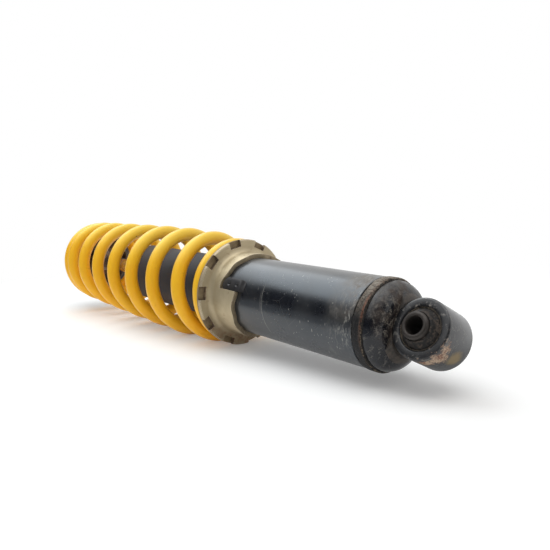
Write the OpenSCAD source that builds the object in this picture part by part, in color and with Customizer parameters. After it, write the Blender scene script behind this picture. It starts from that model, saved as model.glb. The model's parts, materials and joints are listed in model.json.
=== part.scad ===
// Coil-over rear shock absorber with a ramped preload collar, at its extended length.
// The shock's axis is +X, from the lower eye's bolt centre at the origin to the upper eye.
// Every revolved piece is drawn along its own z and laid down by along_shock().

/* [Overall] */
// Distance between the two bolt centres, fully extended
eye_to_eye = 475; // [450:1:500]
// Roll of both eye bolts about the shock's axis, from level
eye_roll = 25.6; // [0:0.1:45]
// Travel of the damper
stroke = 65; // [40:1:66]

/* [Eyes and bushes] */
// Outer diameter of an eye
eye_d = 34.8; // [33:0.1:38]
// Width of an eye along its bolt
eye_w = 26; // [22:1:30]
// Outer diameter of the rubber bush
rubber_d = 24.4; // [22:0.1:27]
// Depth by which the rubber lies inside the eye's faces
rubber_recess = 0.8; // [0.2:0.1:2]
// Outer diameter of the steel sleeve
sleeve_d = 15.8; // [14:0.1:18]
// Length of the steel sleeve
sleeve_l = 38.5; // [32:0.5:44]
// Diameter of the bolt hole, which clears an M10 bolt
bolt_hole_d = 10.3; // [10.2:0.1:12]

/* [Outer body] */
// Outer diameter of the body
body_d = 56; // [54:0.5:60]
// Radius of the end cap's rounded corner
cap_corner_r = 9.5; // [9:0.5:12]
// Where the end cap's rounded corner meets the seam band
seam_x = 26.3; // [24:0.1:32]
// Width of the seam band
seam_w = 7.4; // [3:0.1:12]
// Height of the seam band over the body
seam_lip = 0.35; // [0.1:0.05:1]

/* [Damper] */
// Outer diameter of the damper tube
tube_d = 50.5; // [50:0.1:51]
// Bore of the damper tube
tube_bore_d = 46; // [44:0.5:47]
// End of the damper tube
tube_end_x = 312; // [300:1:320]
// Diameter of the piston rod
rod_d = 14; // [12:0.5:16]
// Gap left over the bump stop at full stroke
bump_reserve = 12; // [8:1:20]
// Diameter of the bump stop at its base
bump_d = 25; // [22:0.5:32]
// Rest position of the floating piston's gas side
gas_piston_x = 62; // [56:1:90]

/* [Preload collar] */
// Diameter of the collar's flange
collar_d = 81.7; // [78:0.1:86]
// Front face of the collar's flange
collar_x = 167.6; // [160:0.1:172]
// Thickness of the collar's flange
collar_t = 3.3; // [2.5:0.1:5]
// Wall of the collar's hub
hub_wall = 3.15; // [2:0.05:5]
// Number of spanner notches
notch_count = 10; // [6:1:12]
// Width of a spanner notch
notch_w = 10; // [6:0.5:12]
// Depth of a spanner notch
notch_depth = 5.4; // [3:0.1:6]
// Angle of the first spanner notch
notch_phase = 5.6; // [0:0.1:36]
// Turn from one preload position to the next
step_angle = 30; // [20:1:36]
// Lift of the spring seat at each preload position
step_lift = 3; // [1:0.1:4]
// Deepest point of the cam, where the lug rests in the softest position
cam_floor_x = 157.5; // [150:0.1:160]
// Angle of the cam's stop wall
cam_wall_angle = 15; // [0:1:60]
// Depth of the shallow seats along the cam
cam_seat_depth = 0.6; // [0:0.1:1]
// Length of a cam lug
lug_l = 23; // [14:0.5:26]
// Width of a cam lug
lug_w = 8.4; // [6:0.1:9]
// Height of a cam lug over the body
lug_h = 2.4; // [1.5:0.1:3]

/* [Spring] */
// Diameter of the spring's wire
wire_d = 11; // [9:0.1:11.4]
// Mean radius of the coil at its widest
coil_belly_r = 40; // [38:0.1:42]
// Mean radius of the last coil at the collar
coil_near_r = 34; // [34:0.1:36]
// Mean radius of the last coil at the upper seat
coil_far_r = 36; // [35:0.1:38]
// Number of turns, end to end
coil_turns = 8.7; // [7:0.1:9.5]
// Turn at which the wire starts, counted from level
coil_start = -0.35; // [-0.5:0.05:0]
// Face of the spring seat ring that carries the spring
spring_near_x = 172.1; // [171:0.1:174]
// Distance from the upper bolt centre down to the spring's upper face
upper_reach = 38.5; // [34:0.5:45]

/* [Clearances] */
// Radial gap of a running fit
run_gap = 0.05; // [0.02:0.01:0.1]
// Gap between faces that rest on each other
face_gap = 0.05; // [0:0.01:0.2]
// Gap between a cam lug and the cam
cam_gap = 0.3; // [0.2:0.05:0.6]

/* [Hidden] */
$fn = 96;

eps = 0.01;
// A cutter runs this far past what it cuts
cut = 2;

body_r = body_d / 2;
tube_r = tube_d / 2;
tube_bore_r = tube_bore_d / 2;
rod_r = rod_d / 2;
hub_r = body_r + run_gap + hub_wall;

// Stack along the axis, from the lower eye upwards
cap_tip_x = seam_x - cap_corner_r;
cap_step = 1.2;
cap_flat_r = body_r - cap_step - cap_corner_r;
spigot_l = 12;
body_start_x = seam_x + seam_w;
spring_seat_x = collar_x + collar_t;
body_end_x = spring_seat_x - 0.4;
guide_x = tube_end_x - 26;
guide_l = 18;
seal_x = guide_x + guide_l;
seal_l = 4.5;
clip_x = seal_x + seal_l;
clip_t = 1.5;
cap_t = 4;
wiper_l = 3.5;
wiper_x = tube_end_x + cap_t;
washer_x = wiper_x + wiper_l;
washer_t = 2;
bump_x = washer_x + washer_t;

// Stack of the rod, from the upper eye downwards
spring_far_x = eye_to_eye - upper_reach;
seat_t = 3.5;
keeper_x = spring_far_x;
keeper_flange_x = spring_far_x + seat_t;
keeper_flange_t = 6;
shoulder_x = keeper_flange_x + keeper_flange_t;
nut_t = 8;
nut_x = spring_far_x - nut_t;
nut_flats = 22;
bump_l = nut_x - bump_x - stroke - bump_reserve;
rod_thread_r = 6;
rod_end_x = eye_to_eye - eye_d / 2 - 4;
bumper_l = 9;
bumper_x = guide_x - bumper_l - face_gap;
piston_l = 14;
shim_stack_l = 2;
piston_x = bumper_x - shim_stack_l - piston_l;
tenon_r = 5;
piston_nut_l = 8;
piston_nut_x = piston_x - shim_stack_l - piston_nut_l;

// Upper eye's neck
neck_r = 10.8;
shoulder_r = 15;
keeper_r = 17.5;
keeper_flange_r = 22;
upper_seat_r = 38;
pilot_wall = 2.5;

// Cam ramp
ramp_span = 180;
ramp_slope = step_lift / step_angle;
lug_half_angle = asin(lug_w / 2 / body_r);
lug_angle = cam_wall_angle + lug_half_angle + 0.5;
lug_tip_x = cam_floor_x - ramp_slope * (lug_angle - cam_wall_angle) - cam_gap;
// Slope of the ramp across the lug's face, as rise over run
lug_tip_slope = ramp_slope * 180 / PI / (body_r + lug_h / 2);
// The hub is turned longer than the cam, which cuts it back all round
hub_start_x = cam_floor_x - ramp_slope * ramp_span - 2;

wire_r = wire_d / 2;
closed_pitch = wire_d + 0.3;
// Part of the wire ground away at each tip
ground_depth = 0.35 * wire_d;
coil_steps = 20;
wire_sides = 12;

module along_shock() rotate([90, 0, 90]) children();

// Lies along an eye's bolt, about the bolt's centre
module along_bolt(x) translate([x, 0, 0]) rotate([eye_roll, 0, 0]) rotate([90, 0, 0]) children();

// Tube from x = a to x = b
module sleeve_x(a, b, r_in, r_out) {
  along_shock()
    translate([0, 0, a])
      difference() {
        cylinder(h = b - a, r = r_out);
        translate([0, 0, -cut]) cylinder(h = b - a + 2 * cut, r = r_in);
      }
}

// Solid or ring turned about the shock's axis; the outline's points are [radius, x]
module turned(points) along_shock() rotate_extrude() polygon(points);

// Round ring of wire about the shock's axis
module o_ring(x, r, wire) {
  along_shock()
    translate([0, 0, x]) rotate_extrude() translate([r, 0]) circle(r = wire, $fn = 32);
}

module eye_block(x) along_bolt(x) cylinder(h = eye_w, d = eye_d, center = true);

module eye_hole(x) along_bolt(x) cylinder(h = eye_w + 2 * cut, d = rubber_d, center = true);

// Eye ring with chamfered outer edges
module eye_ring(x) {
  c = 0.8;
  half = eye_w / 2;
  r_out = eye_d / 2;
  r_in = rubber_d / 2;
  along_bolt(x)
    rotate_extrude()
      polygon([
        [r_in, -half + c], [r_in + c, -half], [r_out - c, -half], [r_out, -half + c],
        [r_out, half - c], [r_out - c, half], [r_in + c, half], [r_in, half - c]
      ]);
}

// Rubber bush with a shallow groove in each face
module bush_rubber(x) {
  half = eye_w / 2 - rubber_recess;
  r_in = sleeve_d / 2 + run_gap;
  r_out = rubber_d / 2;
  mid = (r_in + r_out) / 2;
  dip = 1;
  along_bolt(x)
    rotate_extrude()
      polygon([
        [r_in, -half], [mid, -half + dip], [r_out, -half],
        [r_out, half], [mid, half - dip], [r_in, half]
      ]);
}

// Steel sleeve with chamfered mouths
module bush_sleeve(x) {
  c = 1;
  half = sleeve_l / 2;
  r_in = bolt_hole_d / 2;
  r_out = sleeve_d / 2;
  along_bolt(x)
    rotate_extrude()
      polygon([
        [r_in, -half], [r_out - c, -half], [r_out, -half + c],
        [r_out, half - c], [r_out - c, half], [r_in, half]
      ]);
}

module lower_eye() color("#1b1b1d") eye_ring(0);

module lower_bush_rubber() color("#2a211d") bush_rubber(0);

module lower_bush_sleeve() color("#77706a") bush_sleeve(0);

// Filler between the lower eye and the end cap
module eye_weld() {
  color("#2b211c")
    difference() {
      turned([
        [0, cap_tip_x - 2.4], [cap_flat_r - 0.5, cap_tip_x - 2.4], [cap_flat_r + 2, cap_tip_x - 0.8],
        [cap_flat_r + 4, cap_tip_x + 1.6], [0, cap_tip_x + 1.6]
      ]);
      cap_dome();
      eye_block(0);
    }
}

// Domed end, from its flat to the seam
module cap_dome() {
  along_shock()
    rotate_extrude()
      union() {
        translate([0, cap_tip_x]) square([cap_flat_r, cap_corner_r]);
        intersection() {
          translate([cap_flat_r, seam_x]) circle(r = cap_corner_r);
          translate([cap_flat_r - eps, cap_tip_x]) square([cap_corner_r + 1, cap_corner_r]);
        }
      }
}

module end_cap() {
  groove_x = seam_x + spigot_l / 2;
  color("#141417")
    difference() {
      union() {
        cap_dome();
        turned([
          [0, seam_x - 1], [tube_bore_r, seam_x - 1], [tube_bore_r, groove_x - 1.5],
          [tube_bore_r - 2, groove_x - 1.5], [tube_bore_r - 2, groove_x + 1.5],
          [tube_bore_r, groove_x + 1.5], [tube_bore_r, seam_x + spigot_l], [0, seam_x + spigot_l]
        ]);
      }
      eye_block(0);
    }
}

module end_cap_o_ring() color("#101010") o_ring(seam_x + spigot_l / 2, tube_bore_r - 1, 0.95);

// Crowned band over the joint of the end cap and the body
module seam_band() {
  lip_r = body_r + seam_lip;
  color("#8a6f52")
    turned([
      [tube_r, seam_x], [body_r, seam_x], [lip_r, seam_x + 1], [lip_r, body_start_x - 2],
      [body_r, body_start_x], [tube_r, body_start_x]
    ]);
}

module outer_body() {
  c = 1;
  color("#17181b")
    turned([
      [tube_r, body_start_x], [body_r, body_start_x], [body_r, body_end_x - c],
      [body_r - c, body_end_x], [tube_r, body_end_x]
    ]);
}

// Outline of a lug, with y along the shock and x around the body
module lug_outline() {
  r = 2;
  half = lug_w / 2;
  rise = half * lug_tip_slope;
  difference() {
    polygon([
      [-half, -lug_l + r], [-half + r, -lug_l], [half - r, -lug_l], [half, -lug_l + r],
      [half, -rise], [-half, rise]
    ]);
    for (y = [-7, -16]) translate([0, y]) circle(r = 1.3, $fn = 32);
  }
}

// Stamped lug welded to the body; its end face is cut to the slope of the ramp
module cam_lug(angle) {
  top_r = body_r + lug_h;
  along_shock()
    rotate([0, 0, angle])
      intersection() {
        difference() {
          cylinder(h = cam_floor_x + cut, r = top_r);
          translate([0, 0, -cut]) cylinder(h = cam_floor_x + 3 * cut, r = body_r);
        }
        translate([0, 0, lug_tip_x])
          rotate([90, 0, 90])
            linear_extrude(top_r + cut) lug_outline();
      }
}

module cam_lug_front() color("#17171a") cam_lug(lug_angle);

module cam_lug_rear() color("#17171a") cam_lug(lug_angle + ramp_span);

// Edge of the cam at an angle past the stop wall
function cam_edge(a) =
  cam_floor_x - ramp_slope * a
  + cam_seat_depth * (1 + cos(360 * (a - lug_angle + cam_wall_angle) / step_angle)) / 2;

// Space under both ramps of the cam, as a ring whose upper face is the cam's edge
module cam_space() {
  steps = 36;
  r_in = body_r - 6;
  r_out = hub_r + 3;
  low = hub_start_x - 10;
  // The stop wall leans by this angle
  wall_lean = 0.3;
  stations = [
    for (start = [0, ramp_span])
      for (k = [0:steps])
        let(a = wall_lean + k * (ramp_span - wall_lean) / steps)
          [start + a, cam_edge(a)]
  ];
  count = len(stations);
  points = [
    for (s = stations)
      for (p = [[r_in, low], [r_out, low], [r_out, s[1]], [r_in, s[1]]])
        [p[0] * cos(s[0]), p[0] * sin(s[0]), p[1]]
  ];
  faces = [
    for (k = [0:count - 1])
      let(m = (k + 1) % count)
        for (i = [0:3])
          let(j = (i + 1) % 4)
            for (f = [[4 * k + j, 4 * m + i, 4 * k + i], [4 * m + j, 4 * m + i, 4 * k + j]])
              f
  ];
  polyhedron(points, faces);
}

module preload_collar() {
  bore_r = body_r + run_gap;
  flange_r = collar_d / 2;
  edge = 0.7;
  fillet = 4;
  color("#a39680")
    along_shock()
      difference() {
        rotate_extrude()
          difference() {
            union() {
              translate([bore_r, hub_start_x])
                square([hub_r - bore_r, spring_seat_x - hub_start_x - face_gap]);
              translate([bore_r, collar_x])
                polygon([
                  [0, 0], [flange_r - bore_r - edge, 0], [flange_r - bore_r, edge],
                  [flange_r - bore_r, collar_t - edge], [flange_r - bore_r - edge, collar_t - face_gap],
                  [0, collar_t - face_gap]
                ]);
              translate([hub_r - eps, collar_x - fillet]) square([fillet, fillet + eps]);
            }
            translate([hub_r + fillet, collar_x - fillet]) circle(r = fillet);
          }
        for (k = [0:notch_count - 1])
          rotate([0, 0, notch_phase + k * 360 / notch_count])
            translate([flange_r - notch_depth, -notch_w / 2, collar_x - cut])
              cube([notch_depth + cut, notch_w, collar_t + 2 * cut]);
        rotate([0, 0, cam_wall_angle]) cam_space();
      }
}

// Washer between the collar and the spring, with a lip that centres the coil
module spring_seat_ring() {
  bore_r = tube_r + 0.35;
  lip_r = coil_near_r - wire_r - 0.6;
  ring_r = collar_d / 2 - 0.3;
  face_x = spring_near_x - face_gap;
  color("#8f8470")
    turned([
      [bore_r, spring_seat_x], [ring_r, spring_seat_x], [ring_r, face_x], [lip_r, face_x],
      [lip_r, face_x + 4], [lip_r - 1, face_x + 5], [bore_r, face_x + 5]
    ]);
}

// 0 below a, 1 above b, smooth between
function ease(t, a, b) =
  let(u = min(1, max(0, (t - a) / (b - a))))
  u * u * (3 - 2 * u);

// Share of the open pitch at turn t; it falls away over the closed turn at each end
function openness(t) =
  (1 - 0.024 * (t - 1)) * ease(t, 0.05, 1.05) * (1 - ease(t, coil_turns - 2.1, coil_turns - 1.5));

// Mean radius at turn t: a quick flare from the collar, then a slow taper to the upper seat
function coil_radius(t) =
  t < 2
  ? coil_belly_r - (coil_belly_r - coil_near_r) * pow(1 - max(0, t) / 2, 2)
  : coil_belly_r - (coil_belly_r - coil_far_r) * pow(max(0, t - 3) / (coil_turns + coil_start - 3), 1.3);

module spring() {
  count = round(coil_turns * coil_steps);
  dt = coil_turns / count;
  turns = [for (k = [0:count]) coil_start + k * dt];
  shares = [
    for (k = 0, s = 0; k <= count; s = s + openness(turns[min(k, count)] + dt / 2) * dt, k = k + 1) s
  ];
  first_x = spring_near_x + face_gap + wire_r - ground_depth;
  last_x = spring_far_x - face_gap - wire_r + ground_depth;
  open_length = last_x - first_x - closed_pitch * coil_turns;
  centres = [
    for (k = [0:count])
      first_x + closed_pitch * k * dt + open_length * shares[k] / shares[count]
  ];
  // Each ring of points stands square to the coil's circle, and the grinding flattens its tips
  points = [
    for (k = [0:count])
      for (i = [0:wire_sides - 1])
        let(
          a = 360 * turns[k],
          w = 360 * i / wire_sides,
          r = coil_radius(turns[k]) + wire_r * cos(w),
          x = centres[k] + wire_r * sin(w)
        )
        [r * cos(a), r * sin(a), min(spring_far_x - face_gap, max(spring_near_x + face_gap, x))]
  ];
  n = wire_sides;
  sides = [
    for (k = [0:count - 1])
      for (i = [0:n - 1])
        let(j = (i + 1) % n)
          for (f = [
            [k * n + i, k * n + j, (k + 1) * n + i],
            [k * n + j, (k + 1) * n + j, (k + 1) * n + i]
          ])
            f
  ];
  last = count * n;
  ends = [
    [for (i = [n - 1:-1:0]) i],
    [for (i = [0:n - 1]) last + i]
  ];
  color("#f5a81c") along_shock() polyhedron(points, concat(sides, ends));
}

module damper_tube() {
  groove_r = tube_bore_r + 0.8;
  c = 0.8;
  color("#2a2b2e")
    turned([
      [tube_bore_r, seam_x], [tube_r, seam_x], [tube_r, tube_end_x - c], [tube_r - c, tube_end_x],
      [tube_bore_r, tube_end_x], [tube_bore_r, clip_x + clip_t], [groove_r, clip_x + clip_t],
      [groove_r, clip_x], [tube_bore_r, clip_x]
    ]);
}

module rod_guide() {
  r_out = tube_bore_r - run_gap;
  bore_r = rod_r + 0.4;
  bush_r = rod_r + 1.6;
  groove_x = guide_x + guide_l / 2;
  color("#9a9a9c")
    turned([
      [bore_r, guide_x], [r_out, guide_x], [r_out, groove_x - 1.5], [r_out - 2, groove_x - 1.5],
      [r_out - 2, groove_x + 1.5], [r_out, groove_x + 1.5], [r_out, seal_x],
      [bush_r, seal_x], [bush_r, guide_x + 4], [bore_r, guide_x + 4]
    ]);
}

module guide_bushing() color("#b08d4c") sleeve_x(guide_x + 4, seal_x, rod_r + run_gap, rod_r + 1.6);

module guide_o_ring() color("#101010") o_ring(guide_x + guide_l / 2, tube_bore_r - 1.05, 0.95);

module oil_seal() {
  lip_r = rod_r + run_gap;
  color("#151515")
    turned([
      [lip_r, seal_x + 1], [lip_r + 1.5, seal_x], [tube_bore_r - run_gap, seal_x],
      [tube_bore_r - run_gap, clip_x], [lip_r + 1.5, clip_x], [lip_r, clip_x - 1]
    ]);
}

// Spring clip in the tube's groove, with a gap between its ends
module retaining_ring() {
  color("#55565a")
    difference() {
      sleeve_x(clip_x, clip_x + clip_t, tube_bore_r - 2, tube_bore_r + 0.8);
      along_shock()
        translate([0, -4, clip_x - cut]) cube([tube_r, 8, clip_t + 2 * cut]);
    }
}

module dust_cap() {
  c = 0.8;
  spigot_r = tube_bore_r - 0.1;
  bore_r = rod_r + 2;
  color("#232428")
    turned([
      [bore_r, clip_x + clip_t], [spigot_r, clip_x + clip_t], [spigot_r, tube_end_x],
      [tube_r, tube_end_x], [tube_r, wiper_x - c], [tube_r - c, wiper_x], [bore_r, wiper_x]
    ]);
}

module dust_wiper() {
  lip_r = rod_r + run_gap;
  color("#151515")
    turned([
      [lip_r, washer_x - 1], [lip_r + 1, washer_x], [rod_r + 4, washer_x], [rod_r + 4, wiper_x],
      [rod_r + 2, wiper_x], [rod_r + 2, tube_end_x], [lip_r + 1, tube_end_x], [lip_r, wiper_x]
    ]);
}

module bump_washer() color("#6e6f72") sleeve_x(washer_x, bump_x, rod_r + 0.4, bump_d / 2 + 0.5);

// Elastomer stop that narrows in two waves
module bump_stop() {
  r = bump_d / 2;
  bore_r = rod_r + 0.1;
  color("#1c1c1c")
    turned([
      [bore_r, bump_x], [r, bump_x], [r, bump_x + 0.25 * bump_l],
      [r - 2.5, bump_x + 0.38 * bump_l], [r - 0.8, bump_x + 0.52 * bump_l],
      [r - 3, bump_x + 0.68 * bump_l], [r - 2, bump_x + 0.82 * bump_l],
      [r - 3.5, bump_x + bump_l], [bore_r, bump_x + bump_l]
    ]);
}

// Cup between the gas and the oil
module floating_piston() {
  l = 15;
  r_out = tube_bore_r - run_gap;
  groove_x = gas_piston_x + l / 2;
  color("#a8a9ab")
    turned([
      [0, gas_piston_x + 6], [r_out - 5, gas_piston_x + 6], [r_out - 5, gas_piston_x],
      [r_out, gas_piston_x], [r_out, groove_x - 1.5], [r_out - 2, groove_x - 1.5],
      [r_out - 2, groove_x + 1.5], [r_out, groove_x + 1.5], [r_out, gas_piston_x + l],
      [0, gas_piston_x + l]
    ]);
}

module floating_piston_o_ring() color("#101010") o_ring(gas_piston_x + 7.5, tube_bore_r - 1.1, 0.95);

module piston_rod() {
  c = 1;
  color("#c9cacc")
    turned([
      [0, piston_nut_x - 2], [tenon_r, piston_nut_x - 2], [tenon_r, bumper_x],
      [rod_r, bumper_x], [rod_r, nut_x - 2], [rod_thread_r, nut_x - 1],
      [rod_thread_r, rod_end_x - c], [rod_thread_r - c, rod_end_x], [0, rod_end_x]
    ]);
}

// Piston with ports through it and a groove for its band
module piston() {
  r_out = tube_bore_r - 0.4;
  color("#8d8e91")
    difference() {
      turned([
        [tenon_r, piston_x], [r_out, piston_x], [r_out, piston_x + 3], [r_out - 1.5, piston_x + 3],
        [r_out - 1.5, piston_x + piston_l - 3], [r_out, piston_x + piston_l - 3],
        [r_out, piston_x + piston_l], [tenon_r, piston_x + piston_l]
      ]);
      along_shock()
        for (k = [0:5])
          rotate([0, 0, 60 * k])
            translate([tube_bore_r - 7, 0, piston_x - cut])
              cylinder(h = piston_l + 2 * cut, r = 2.2, $fn = 32);
    }
}

module piston_band() {
  color("#3d3a34")
    sleeve_x(piston_x + 3, piston_x + piston_l - 3, tube_bore_r - 1.9, tube_bore_r - run_gap);
}

// Stack of thin discs, stepped from wide to narrow away from the piston
module shim_stack(x, away) {
  discs = 4;
  t = shim_stack_l / discs;
  for (k = [0:discs - 1])
    let(a = away > 0 ? x + k * t : x - (k + 1) * t)
      sleeve_x(a, a + t, tenon_r, 17 - 2 * k);
}

module compression_shims() color("#b9babd") shim_stack(piston_x, -1);

module rebound_shims() color("#b9babd") shim_stack(piston_x + piston_l, 1);

module hex_nut(x, l, flats, bore_r) {
  along_shock()
    translate([0, 0, x])
      difference() {
        cylinder(h = l, r = flats / 2 / cos(30), $fn = 6);
        translate([0, 0, -cut]) cylinder(h = l + 2 * cut, r = bore_r);
      }
}

module piston_nut() color("#7b7c80") hex_nut(piston_nut_x, piston_nut_l, 17, tenon_r);

// Rubber ring that ends the rebound stroke on the rod guide
module top_out_bumper() color("#1c1c1c") sleeve_x(bumper_x, bumper_x + bumper_l, rod_r, rod_r + 5);

// Dished seat with a lip inside the last coil
module upper_spring_seat() {
  lip_r = coil_far_r - wire_r - 0.6;
  c = 1;
  color("#3a3b3e")
    turned([
      [keeper_r + 0.2, spring_far_x], [lip_r - pilot_wall, spring_far_x],
      [lip_r - pilot_wall, spring_far_x - 7], [lip_r - c, spring_far_x - 7],
      [lip_r, spring_far_x - 7 + c], [lip_r, spring_far_x], [upper_seat_r, spring_far_x],
      [upper_seat_r, keeper_flange_x - c], [upper_seat_r - c, keeper_flange_x],
      [keeper_r + 0.2, keeper_flange_x]
    ]);
}

// Half of the split collar that locks the seat to the upper eye
module seat_keeper(side) {
  saw = 0.6;
  reach = keeper_flange_r + cut;
  color("#6b6c70")
    intersection() {
      turned([
        [neck_r + run_gap, keeper_x], [keeper_r, keeper_x], [keeper_r, keeper_flange_x],
        [keeper_flange_r, keeper_flange_x], [keeper_flange_r, shoulder_x - 1 - face_gap],
        [keeper_flange_r - 1, shoulder_x - face_gap], [neck_r + run_gap, shoulder_x - face_gap]
      ]);
      rotate([eye_roll, 0, 0])
        translate([keeper_x - cut, side > 0 ? saw / 2 : -reach - saw / 2, -reach])
          cube([shoulder_x - keeper_x + 2 * cut, reach, 2 * reach]);
    }
}

module seat_keeper_left() seat_keeper(1);

module seat_keeper_right() seat_keeper(-1);

module lock_nut() color("#8a8b8f") hex_nut(nut_x, nut_t - face_gap, nut_flats, rod_thread_r);

// Forged eye with a threaded neck for the rod
module upper_eye() {
  color("#1b1b1d")
    difference() {
      union() {
        eye_ring(eye_to_eye);
        difference() {
          turned([
            [rod_thread_r, spring_far_x], [neck_r, spring_far_x], [neck_r, shoulder_x],
            [shoulder_r, shoulder_x], [shoulder_r, eye_to_eye - 12], [rod_thread_r, eye_to_eye - 12]
          ]);
          eye_hole(eye_to_eye);
        }
      }
      along_shock()
        translate([0, 0, spring_far_x - cut]) cylinder(h = rod_end_x - spring_far_x + cut, r = rod_thread_r);
    }
}

module upper_bush_rubber() color("#2a211d") bush_rubber(eye_to_eye);

module upper_bush_sleeve() color("#77706a") bush_sleeve(eye_to_eye);

lower_eye();
lower_bush_rubber();
lower_bush_sleeve();
eye_weld();
end_cap();
end_cap_o_ring();
seam_band();
outer_body();
cam_lug_front();
cam_lug_rear();
preload_collar();
spring_seat_ring();
spring();
damper_tube();
rod_guide();
guide_bushing();
guide_o_ring();
oil_seal();
retaining_ring();
dust_cap();
dust_wiper();
bump_washer();
bump_stop();
floating_piston();
floating_piston_o_ring();
piston_rod();
piston();
piston_band();
compression_shims();
rebound_shims();
piston_nut();
top_out_bumper();
upper_spring_seat();
seat_keeper_left();
seat_keeper_right();
lock_nut();
upper_eye();
upper_bush_rubber();
upper_bush_sleeve();
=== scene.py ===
import json
import math

import bmesh
import bpy
from mathutils import Matrix, Vector, noise


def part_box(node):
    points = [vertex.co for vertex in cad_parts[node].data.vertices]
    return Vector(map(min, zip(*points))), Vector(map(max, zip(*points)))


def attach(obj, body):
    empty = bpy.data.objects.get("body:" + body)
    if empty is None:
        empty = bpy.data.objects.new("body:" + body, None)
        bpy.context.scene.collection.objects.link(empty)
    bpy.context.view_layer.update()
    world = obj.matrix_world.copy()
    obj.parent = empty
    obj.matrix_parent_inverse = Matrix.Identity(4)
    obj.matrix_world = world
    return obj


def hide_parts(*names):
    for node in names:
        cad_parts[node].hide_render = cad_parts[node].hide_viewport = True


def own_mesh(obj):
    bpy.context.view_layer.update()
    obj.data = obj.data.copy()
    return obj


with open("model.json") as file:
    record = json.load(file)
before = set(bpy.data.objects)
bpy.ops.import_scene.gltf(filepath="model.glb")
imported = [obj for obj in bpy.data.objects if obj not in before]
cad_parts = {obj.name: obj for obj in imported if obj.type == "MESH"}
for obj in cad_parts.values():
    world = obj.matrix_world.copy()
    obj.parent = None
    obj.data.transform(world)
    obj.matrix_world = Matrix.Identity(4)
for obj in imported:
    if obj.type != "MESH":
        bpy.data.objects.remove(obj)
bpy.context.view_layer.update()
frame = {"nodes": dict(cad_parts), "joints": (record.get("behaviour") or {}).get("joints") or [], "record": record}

nodes = frame["nodes"]
record = frame["record"]
mm = 0.001
boltPlaces = {m["name"]: Vector(m["pos_m"]) for m in record["mounts"]}
boltAxis = Vector(record["mounts"][0]["axis"]).normalized()
scene = bpy.context.scene
scene.view_settings.view_transform = "Standard"


def reach(node, side):  # where a node starts (0) or ends (1) along the shock, in mm
    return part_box(node)[side].x / mm


def girth(node):  # a turned node's outer radius, in mm
    low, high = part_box(node)
    return (high.z - low.z) / 2 / mm


# Shader maths

def paintTone(red, green, blue):  # a screen colour from 0 to 255, as the shader's own
    def linear(level):
        level /= 255
        return level / 12.92 if level <= 0.04045 else ((level + 0.055) / 1.055) ** 2.4
    return (linear(red), linear(green), linear(blue), 1.0)


class Wire:
    # one output of a node, so that an expression on it adds its Math nodes
    def __init__(self, board, socket):
        self.board = board
        self.socket = socket

    def maths(self, operation, *values, clamp=False):
        settings = {"operation": operation, "use_clamp": clamp}
        node = self.board.add("ShaderNodeMath", settings, dict(enumerate(values)))
        return Wire(self.board, node.outputs[0])

    def __add__(self, other):
        return self.maths("ADD", self, other)

    def __sub__(self, other):
        return self.maths("SUBTRACT", self, other)

    def __rsub__(self, other):
        return self.maths("SUBTRACT", other, self)

    def __mul__(self, other):
        return self.maths("MULTIPLY", self, other)

    def __truediv__(self, other):
        return self.maths("DIVIDE", self, other)

    def __abs__(self):
        return self.maths("ABSOLUTE", self)

    __radd__ = __add__
    __rmul__ = __mul__

    def hypot(self, other):
        return self.maths("SQRT", self * self + other * other)

    def turnTo(self, other):  # the angle of (self, other), in radians
        return self.maths("ARCTAN2", other, self)

    def clamped(self):
        return self.maths("ADD", self, 0.0, clamp=True)

    def above(self, edge, soft):  # 0 below the edge, 1 above it
        return self.maths("DIVIDE", self - (edge - soft / 2), soft, clamp=True)

    def below(self, edge, soft):
        return self.maths("SUBTRACT", 1.0, self.above(edge, soft), clamp=True)


class Board:
    # a node tree, with one way to add any node
    def __init__(self, tree):
        self.tree = tree
        self.tree.nodes.clear()

    def add(self, kind, settings=None, inputs=None):
        node = self.tree.nodes.new(kind)
        for key, value in (settings or {}).items():
            setattr(node, key, value)
        for key, value in (inputs or {}).items():
            socket = node.inputs[key]
            if isinstance(value, Wire):
                value = value.socket
            if isinstance(value, bpy.types.NodeSocket):
                self.tree.links.new(value, socket)
            else:
                socket.default_value = value
        return node

    def whiteRays(self):  # 1 for the rays that see a white room
        rays = self.add("ShaderNodeLightPath").outputs
        names = ("Is Camera Ray", "Is Glossy Ray", "Is Transmission Ray")
        camera, glossy, through = [Wire(self, rays[name]) for name in names]
        return (camera + glossy + through).clamped()


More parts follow.
